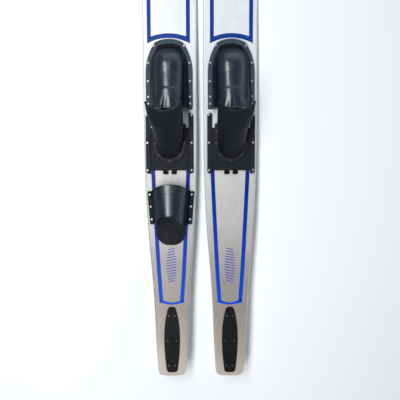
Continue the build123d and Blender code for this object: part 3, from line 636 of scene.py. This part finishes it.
def toe_rubber(side):
    """Glossy moulded toe dome, open to the rear, with its flange under the frame."""
    foot, crest = toe_plan(34, 61)
    square = 2 / 2.25
    tall = eased((TOE_REAR, 900.0, TOE_POLE), (75.0, 71.0, 60.0), np.minimum(crest[:, 1], TOE_POLE))
    centre = np.column_stack([crest, np.full(len(crest), DECK)])
    grid = []
    for share in np.linspace(0, 1, 30):
        angle = share * math.pi / 2
        out, up = math.cos(angle) ** square, math.sin(angle) ** square
        level = np.column_stack([crest + (foot - crest) * out, DECK + tall * up])
        away = level - centre
        away /= np.maximum(np.linalg.norm(away, axis=1, keepdims=True), 1e-9)
        lift = toe_relief(level[:, 0], level[:, 1]) * min(1, share * 5)
        # a shallow pressed line round the front of the dome, and the swell above its foot
        lift -= ridge(share - 0.42, 0.7, 0.035) * (level[:, 1] > TOE_POLE - 6)
        lift += ridge(share - 0.16, 0.9, 0.12)
        grid.append(level + away * lift[:, None] + (BINDING, 0, 0))
    grid = np.array(grid)
    shell = closed_shell(grid, SKIN)
    outline = toe_outline()
    outer = np.array([
        (math.copysign(FRAME_HALF - 0.3, f[0]), f[1]) if c[1] < TOE_POLE - 1e-6 else
        reach(outline, (0.0, TOE_POLE), (f - c) / np.linalg.norm(f - c)) * (0.995, 1.0) - (0, 0.4)
        for f, c in zip(foot, crest)
    ])
    inner = crest + (foot - crest) * 0.94
    flange = skin_plate(outer + (BINDING, 0), inner + (BINDING, 0), DECK, DECK + FLANGE)
    back = np.concatenate([grid[:, 0], grid[:, -1][::-1][1:]])
    lip = swept_bead(back[1:-1], 2.3)
    piece = add_piece(f"{side}_toe_dome", *shell, gloss_rubber, side, "root", "gloss_rubber")
    weld(piece)
    smoothed(piece)
    # the lip carries the painted highlight, the flange the painted shade
    add_piece(f"{side}_toe_lip", *lip, lip_painted_highlight, side, "root", "gloss_rubber")
    add_piece(f"{side}_toe_flange", *flange, flange_painted_shade, side, "root", "gloss_rubber", smooth=False)
    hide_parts(f"{side}_toe_rubber")


# ---------------------------------------------------------------- heel cup

PLATE_REAR = 663.7
PLATE_TOP = 25.5
CUP_HEIGHT = 132.0
CUP_SKEW = -13.0       # how far the top stands towards the outer side
CUP_WALL = 3.6
ARM_FRONT = 791.0
TONGUE = 17.0
# the front edge of the cup: heights above the plate and places along the ski
EAR_HEIGHTS = (-1, 45.0, 69.0, 85.0, 97.0, 111.0, 124.0, 135.0)
EAR_PLACES = (ARM_FRONT, 798.0, 805.0, 820.0, 838.0, 852.0, 866.0, 869.0)


def cup_line(height, shares):
    """Plan of the cup at one height: from its outer front edge round the back to the inner one."""
    share = height / CUP_HEIGHT
    half = 37.8 + 12.0 * np.maximum(share, 0) ** 1.3
    leaning = np.minimum(share, 0.94)
    rear = 700.7 + 130.0 * leaning + 26.0 * leaning**3
    depth = 42.0 - 22.0 * share
    shift = CUP_SKEW * share * np.abs(share)
    front = eased(EAR_HEIGHTS, EAR_PLACES, height)
    bend = np.arccos(np.clip(1 - (front - rear) / depth, 0, 1))
    straight = np.maximum(front - rear - depth, 0)
    bend_length = bend * (half + depth) / 2
    turn_share = bend_length / (bend_length + straight)
    angle = np.clip(np.abs(shares) / turn_share, 0, 1) * bend
    arm = np.clip((np.abs(shares) - turn_share) / np.maximum(1 - turn_share, 1e-6), 0, 1)
    x = shift + np.sign(shares) * half * np.sin(angle)
    y = rear + depth - depth * np.cos(angle) + arm * straight
    # the outer ear stands straighter and a little further back than the inner one
    bulge = 4.5 * np.clip(share, 0, 1) ** 2 - 4.0 * np.exp(-(((height - 104.0) / 20.0) ** 2))
    x = np.where(shares < 0, x + bulge * np.sin(angle), x)
    y = np.where(shares < 0, y - 6.0 * arm * np.clip((height - 100.0) / 30.0, 0, 1), y)
    return x, y


def heel_cup(side):
    """Matte moulded heel cup: a lower boot, a lapped upper layer and a rolled rim with two ears."""
    around = np.linspace(-1, 1, 91)
    top = eased((0.0, 0.35, 0.75, 1.0), (123.0, 124.0, 130.0, 134.0), np.abs(around))
    grid = []
    for share in np.linspace(0, 1, 44):
        height = share * top
        x, y = cup_line(height, around)
        upper = 2.1 * np.clip((y - 790.0 - 5.0 * (x / 45.0) ** 2) / 2.2, 0, 1)
        crease = ridge(height - 60, -0.8, 5.0) + ridge(height - 102, -0.7, 6.0) + ridge(height - 20, 0.7, 5.0)
        swell = upper + crease * np.exp(-((around / 0.5) ** 2)) + ridge(around, 0.9, 0.045)
        dx = x - CUP_SKEW * (height / CUP_HEIGHT) ** 2
        dy = np.minimum(y - 742.7 - 108.0 * height / CUP_HEIGHT - 12, 0.0)
        length = np.maximum(np.hypot(dx, dy), 1e-6)
        x = x + dx / length * swell + BINDING
        y = y + dy / length * swell
        grid.append(np.column_stack([x, y, PLATE_TOP + height]))
    grid = np.array(grid)
    shell = closed_shell(grid, CUP_WALL)
    edge = np.concatenate([grid[:, 0], grid[-1][1:], grid[::-1, -1][1:]])
    rim = swept_bead(edge[2:-2], 2.1)
    plan = np.linspace(-1, 1, 61)
    outer = np.column_stack(horseshoe_line(50.3, 24.4, plan)) + (BINDING, 0)
    inner = np.column_stack(horseshoe_line(36.2, 38.4, plan)) + (BINDING, 0)
    flange = skin_plate(outer, inner, PLATE_TOP, PLATE_TOP + FLANGE)
    cup = add_piece(f"{side}_heel_cup", *shell, matte_rubber, side, f"{side}_heel", "matte_rubber")
    weld(cup)
    smoothed(cup)
    # the rim carries the painted highlight
    add_piece(f"{side}_heel_cup_rim", *rim, rim_painted_highlight, side, f"{side}_heel", "matte_rubber")
    add_piece(
        f"{side}_heel_flange", *flange, matte_rubber, side, f"{side}_heel", "matte_rubber", smooth=False
    )
    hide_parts(f"{side}_heel_rubber")


def horseshoe_line(half, rear_offset, shares):
    """Plan of the flange at one half width: from one arm's front end round the back to the other."""
    rear = PLATE_REAR + rear_offset
    depth = 1.15 * half
    angle = np.clip(np.abs(shares) / 0.7, 0, 1) * math.pi / 2
    arm = np.clip((np.abs(shares) - 0.7) / 0.3, 0, 1)
    y = rear + depth - depth * np.cos(angle) + arm * (ARM_FRONT - rear - depth)
    # the inner arm runs a short tongue past the plate
    y = np.where(shares > 0, y + TONGUE * np.clip((arm - 0.8) / 0.2, 0, 1), y)
    return np.sign(shares) * half * np.sin(angle), y


# ---------------------------------------------------------------- rear toe rubber

REAR_TOE_FRONT = 599.0
REAR_TOE_LONG = 104.0
REAR_TOE_REAR = REAR_TOE_FRONT - REAR_TOE_LONG
REAR_TOE_HALF, REAR_TOE_TAPER = 59.6, 7.7
REAR_STRIP_HALF = 73.0


def rear_toe_rubber():
    """The low glossy arch of the rear toe piece, with mould lines, lips and side flanges."""
    square = 2 / 2.15
    grid = []
    across_steps = np.linspace(0, math.pi, 61)
    for share in np.linspace(0, 1, 44):
        row = []
        for angle in across_steps:
            front = REAR_TOE_FRONT + 1.0 + 21.0 * math.sin(angle) ** 2
            mouth = REAR_TOE_REAR + 31.0 * math.exp(-(((-math.cos(angle) * 54.0 + 10.0) / 36.0) ** 4))
            place = front + share * (mouth - front)
            wide = REAR_TOE_HALF - REAR_TOE_TAPER * (REAR_TOE_FRONT - place) / REAR_TOE_LONG
            tall = float(eased((REAR_TOE_REAR, 557.0, 623.0), (57.0, 54.5, 44.0), np.array([place]))[0])
            out = math.copysign(abs(math.cos(angle)) ** square, math.cos(angle))
            up = math.sin(angle) ** square
            lift = ridge(place - 590.0, 0.9, 1.6) + ridge(place - 547.0, 0.9, 1.6)
            lift += ridge(place - 568.0, 0.8, 12.0) + ridge(place - 512.0, -0.7, 9.0)
            lift *= min(1.0, 4 * math.sin(angle))
            row.append((-out * (wide + lift), place, DECK + up * (tall + lift)))
        grid.append(row)
    grid = np.array(grid)
    shell = closed_shell(grid, SKIN)
    lips = [swept_bead(grid[0][1:-1], 1.9), swept_bead(grid[-1][1:-1], 2.3)]
    flanges = []
    for sign in (-1, 1):
        line = np.linspace(REAR_TOE_REAR + 0.5, REAR_TOE_FRONT - 0.5, 15)
        edge = REAR_STRIP_HALF - REAR_TOE_TAPER * (REAR_TOE_FRONT - line) / REAR_TOE_LONG
        outer = np.column_stack([sign * (edge - 0.5), line])
        inner = np.column_stack([sign * (edge - 15.5), line])
        flanges.append(skin_plate(outer, inner, DECK, DECK + FLANGE))
    points, faces = joined([shell] + lips)
    piece = add_piece("left_rear_toe_arch", points, faces, gloss_rubber, "left", "root", "gloss_rubber")
    weld(piece)
    smoothed(piece)
    points, faces = joined(flanges)
    add_piece(
        "left_rear_toe_flange", points, faces, gloss_rubber, "left", "root", "gloss_rubber", smooth=False
    )
    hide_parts("left_rear_toe_rubber")


# ---------------------------------------------------------------- foot pads

PAD = 4.0
PAD_EDGE = 2.4
GROOVE = 1.1


def foot_pad(name, side, body, node, half, rear, front, corner, level, centre_x, pitch):
    """Ribbed foam pad with a rounded plan, rolled edges and cross grooves."""
    half_long = (front - rear) / 2
    middle = (front + rear) / 2
    rows = -np.cos(np.linspace(0, math.pi, 151))
    columns = -np.cos(np.linspace(0, math.pi, 61))
    top = []
    for v in rows:
        v = math.copysign(abs(v) ** 0.8, v)
        y = v * half_long
        past = max(abs(y) - (half_long - corner), 0.0)
        wide = half - corner + math.sqrt(max(corner**2 - past**2, 0.0))
        x = columns * wide
        qx, qy = np.abs(x) - (half - corner), abs(y) - (half_long - corner)
        inside = corner - np.hypot(np.maximum(qx, 0), max(qy, 0)) - np.minimum(np.maximum(qx, qy), 0)
        share = np.clip(inside / PAD_EDGE, 0, 1)
        z = PAD * np.sqrt(1 - (1 - share) ** 2)
        groove = 0.5 + 0.5 * math.cos(2 * math.pi * y / pitch)
        z -= GROOVE * groove**3 * np.clip((inside - 5.0) / 2.0, 0, 1)
        z -= ridge(inside - 3.8, 0.5, 0.7)
        top.append(np.column_stack([x + centre_x, np.full(len(x), y + middle), level + z]))
    top = np.array(top)
    bottom = top.copy()
    bottom[:, :, 2] = level
    count = top.shape[0] * top.shape[1]
    faces = [tuple(reversed(face)) for face in grid_faces(*top.shape[:2])]
    faces += [tuple(i + count for i in reversed(face)) for face in faces]
    points = np.concatenate([top.reshape(-1, 3), bottom.reshape(-1, 3)])
    piece = add_piece(name, points, faces, foam, side, body, "foot_foam")
    weld(piece)
    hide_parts(node)


# ---------------------------------------------------------------- printed graphics

PRINT_START, PRINT_TIP = 1067.0, 1655.0
PRINT_CENTRE = -3.5
BAND_HALF = 65.6
BAND_ARCS = ((1081.5, 153.0), (1067.5, 135.0))   # top and radius of its front and rear edges
TICKS, TICK_START, TICK_PITCH = 13, 312.0, 8.6


def ink_top(place):
    """Level of the ink: just proud of the deck, and a little more where the deck sweeps up."""
    return deck_level(place) + 0.1 + 0.45 * min(max((place - SWEEP_START + 5.0) / 15.0, 0.0), 1.0)


def ribbon(path, widths):
    """A printed stripe along a plan line."""
    path = np.asarray(path, float)
    tangents = np.gradient(path, axis=0)
    tangents /= np.linalg.norm(tangents, axis=1, keepdims=True)
    sideways = np.column_stack([-tangents[:, 1], tangents[:, 0]]) * (np.asarray(widths) / 2)[:, None]
    return stripe(path + sideways, path - sideways)


def stripe(first, second):
    """A printed area between two plan lines of as many points."""
    rows = []
    for line, height in ((first, -0.15), (first, 0.0), (second, 0.0), (second, -0.15)):
        rows.append(np.column_stack([line, [ink_top(y) + height for y in line[:, 1]]]))
    points = np.array(rows).transpose(1, 0, 2).reshape(-1, 3)
    faces = grid_faces(len(first), 4, wrap_columns=True)
    count = len(points)
    return points, faces + [(0, 1, 2, 3), (count - 1, count - 2, count - 3, count - 4)]


def edge_margin(place):
    """Half width of the printed frame, which closes to a point near the tip."""
    places = (1040.0, 1380.0, 1520.0, 1610.0, PRINT_TIP)
    return float(eased(places, (59.6, 59.6, 53.0, 36.0, 0.0), np.array([place]))[0])


def printed_graphics(side):
    """The blue outline in front of and behind the bindings, and a row of slanted ticks."""
    places = np.concatenate([
        np.linspace(PRINT_START, 1380, 40), np.linspace(1388, 1640, 60), np.linspace(1642, PRINT_TIP, 14),
    ])
    half = np.array([edge_margin(p) for p in places])
    up = np.column_stack([PRINT_CENTRE - half, places])
    down = np.column_stack([PRINT_CENTRE + half[:-1][::-1], places[:-1][::-1]])
    outline = np.concatenate([up, down])
    parts = [ribbon(outline, np.full(len(outline), 12.0))]
    span = np.linspace(-1, 1, 41)
    edges = [
        np.column_stack([
            PRINT_CENTRE + BAND_HALF * span, top - radius + np.sqrt(radius**2 - (BAND_HALF * span) ** 2),
        ])
        for top, radius in BAND_ARCS
    ]
    parts.append(stripe(*edges))
    line = np.linspace(724.0, 248.0, 60)
    half = eased((248.0, 348.0, 500.0, 660.0, 724.0), (32.8, 39.6, 47.5, 54.6, 56.5), line)
    for sign in (-1, 1):
        parts.append(ribbon(np.column_stack([sign * half, line]), np.full(60, 12.5)))
    v_line = np.column_stack([39.0 * span, 238.8 + 9.0 * np.abs(span) ** 1.3])
    parts.append(ribbon(v_line, 6.5 + 4.0 * np.abs(span)))
    for step in range(TICKS):
        place = TICK_START + TICK_PITCH * step
        wide = 9.0 + 7.0 * math.sin(math.pi * (step + 0.5) / TICKS)
        tick = np.column_stack([np.linspace(-wide, wide, 4), np.linspace(place - 2.6, place + 2.6, 4)])
        parts.append(ribbon(tick, np.full(4, 2.6)))
    points, faces = joined(parts)
    add_piece(f"{side}_deck_print", points, faces, print_blue, side, "root", "deck_sheet", smooth=False)


# ---------------------------------------------------------------- small moulded details

def plate_details(side):
    """Raised arcs in front of the two thumb tabs, moulded into the heel plate."""
    parts = []
    for sign in (-1, 1):
        for radius in (9.0, 12.5):
            turn = np.linspace(0.2 * math.pi, 0.8 * math.pi, 13)
            x = BINDING + sign * 13.0 + radius * np.cos(turn)
            y = PLATE_REAR + 2.0 + radius * np.sin(turn)
            parts.append(swept_bead(np.column_stack([x, y, np.full(13, PLATE_TOP)]), 0.55, 8))
    points, faces = joined(parts)
    add_piece(
        f"{side}_heel_plate_marks", points, faces, heel_plastic, side, f"{side}_heel", "binding_plastic"
    )


dress_cad_nodes()
for side in SIDES:
    toe_rubber(side)
    heel_cup(side)
    plate_details(side)
    printed_graphics(side)
    foot_pad(
        f"{side}_toe_pad_foam", side, "root", f"{side}_toe_foot_pad",
        half=44.0, rear=850.0, front=998.0, corner=30.0, level=DECK, centre_x=BINDING, pitch=7.0,
    )
    foot_pad(
        f"{side}_heel_pad_foam", side, f"{side}_heel", f"{side}_heel_foot_pad",
        half=30.5, rear=716.7, front=792.7, corner=26.0, level=PLATE_TOP, centre_x=BINDING, pitch=6.0,
    )
rear_toe_rubber()
foot_pad(
    "left_rear_pad_foam", "left", "root", "left_rear_foot_pad",
    half=47.0, rear=428.0, front=591.0, corner=42.0, level=DECK, centre_x=0.0, pitch=7.0,
)


# ---------------------------------------------------------------- floor, light and camera

def floor():
    """A plain pale floor, 24 m square."""
    half = 12.0
    corners = [(-half, -half, 0), (half, -half, 0), (half, half, 0), (-half, half, 0)]
    mesh = bpy.data.meshes.new("studio_floor")
    mesh.from_pydata(corners, [], [(0, 1, 2, 3)])
    material, tree, shader = new_material("studio_floor", 0.85)
    tone = grey_ramp(tree, noise(tree, 1.2, 3.0), 0.97, 0.99)
    tree.links.new(tone, shader.inputs["Base Color"])
    mesh.materials.append(material)
    piece = bpy.data.objects.new("studio_floor", mesh)
    bpy.context.scene.collection.objects.link(piece)


def area_light(name, place, aim, wide, long, power, colour):
    """A soft panel that faces its aim, with its long side along the skis."""
    light = bpy.data.lights.new(name, "AREA")
    light.shape = "RECTANGLE"
    light.size, light.size_y = wide, long
    light.energy = power
    light.color = colour
    backward = (Vector(place) - Vector(aim)).normalized()
    lengthwise = Vector((0, 1, 0))
    lengthwise = (lengthwise - lengthwise.dot(backward) * backward).normalized()
    turn = Matrix((lengthwise.cross(backward), lengthwise, backward)).transposed()
    lamp = bpy.data.objects.new(name, light)
    lamp.matrix_world = Matrix.Translation(Vector(place)) @ turn.to_4x4()
    bpy.context.scene.collection.objects.link(lamp)


def world_light(strength):
    """Pale walls, brighter on the right, under a darker ceiling, so that level gloss stays deep."""
    world = bpy.data.worlds.new("studio")
    world.use_nodes = True
    tree = world.node_tree
    way = add(tree, "ShaderNodeSeparateXYZ", {0: add(tree, "ShaderNodeTexCoord").outputs["Generated"]})
    walls = ramp(tree, way.outputs["Z"], [(0.30, (0.95, 0.97, 1.0)), (0.80, (0.15, 0.19, 0.25))])
    across = maths(tree, "ADD", maths(tree, "MULTIPLY", way.outputs["X"], 0.5), 0.5)
    walls = mix(tree, 1.0, walls, grey_ramp(tree, across, 0.25, 1.0, 0.30, 0.80), "MULTIPLY")
    sky = tree.nodes["Background"]
    tree.links.new(walls, sky.inputs["Color"])
    sky.inputs["Strength"].default_value = strength
    bpy.context.scene.world = world


def camera():
    """Looks down on the decks from a little ahead of the middle, as the pair is shown."""
    data = bpy.data.cameras.new("view")
    data.lens = 50.0
    data.sensor_width = 36.0
    lean, roll, distance = math.radians(8.43), -0.0033, 1.7405
    target = Vector(to_row([(0, 570.8, DECK)], "left")[0])
    target.x = -0.0014
    forward = Vector((0, -math.sin(lean), -math.cos(lean)))
    right = Vector((1, roll, 0))
    right = (right - right.dot(forward) * forward).normalized()
    up = right.cross(forward)
    turn = Matrix((right, up, -forward)).transposed()
    view = bpy.data.objects.new("view", data)
    view.matrix_world = Matrix.Translation(target - forward * distance) @ turn.to_4x4()
    bpy.context.scene.collection.objects.link(view)
    bpy.context.scene.camera = view
    bpy.context.scene.view_settings.view_transform = "Standard"


floor()
world_light(0.90)
area_light(
    "key_strip", place=(-0.72, -0.10, 2.4), aim=(0.1, -0.05, 0),
    wide=0.60, long=3.6, power=69.0, colour=(0.965, 0.985, 1.0),
)
area_light(
    "front_panel", place=(0.1, 3.2, 1.7), aim=(0, 0.4, 0),
    wide=3.0, long=1.8, power=12.0, colour=(0.88, 0.95, 1.0),
)
camera()
